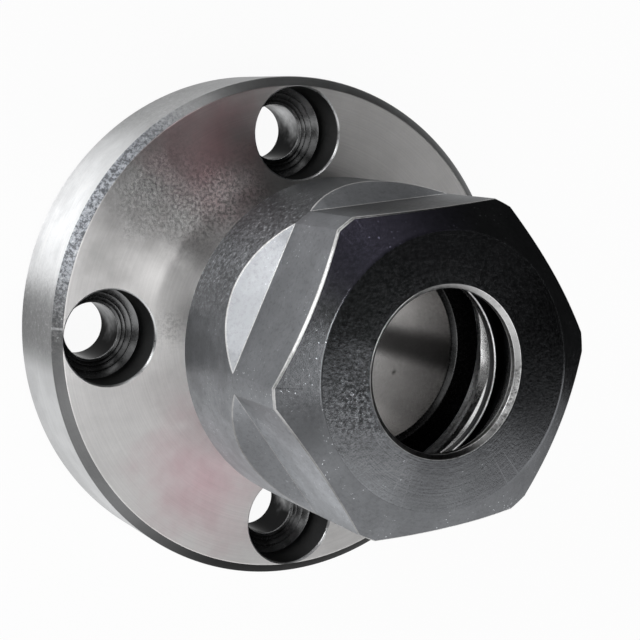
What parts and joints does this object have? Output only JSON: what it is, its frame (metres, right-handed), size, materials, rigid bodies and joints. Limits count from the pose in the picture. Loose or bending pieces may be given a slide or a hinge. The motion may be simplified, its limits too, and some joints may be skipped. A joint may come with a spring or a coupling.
{
  "type": "collet chuck holder",
  "caption": "Flange-mounted collet chuck: a steel disc with counterbored screw holes, a tapered socket on a threaded nose, and a hexagonal clamping nut.",
  "frame": {"origin": "centre of the flange's mounting face, on the chuck's axis", "axes": "+Z along the chuck's axis from the mounting face towards the nut's mouth, +X through one screw hole"},
  "size_m": [0.045, 0.045, 0.0347],
  "materials": {
    "ground_steel": "turned and ground bare steel with light handling marks",
    "blackened_steel": "black oxide over milled and turned steel, bright at worn edges"
  },
  "bodies": {
    "body": {"chuck_body": "ground_steel"},
    "nut": {"clamping_nut": "blackened_steel"}
  },
  "joints": [
    {"name": "nut_turn", "type": "hinge", "parent": "body", "child": "nut", "pos_m": [0, 0, 0.01645], "axis": [0, 0, 1], "range_deg": [-1780, 1640]}
  ]
}
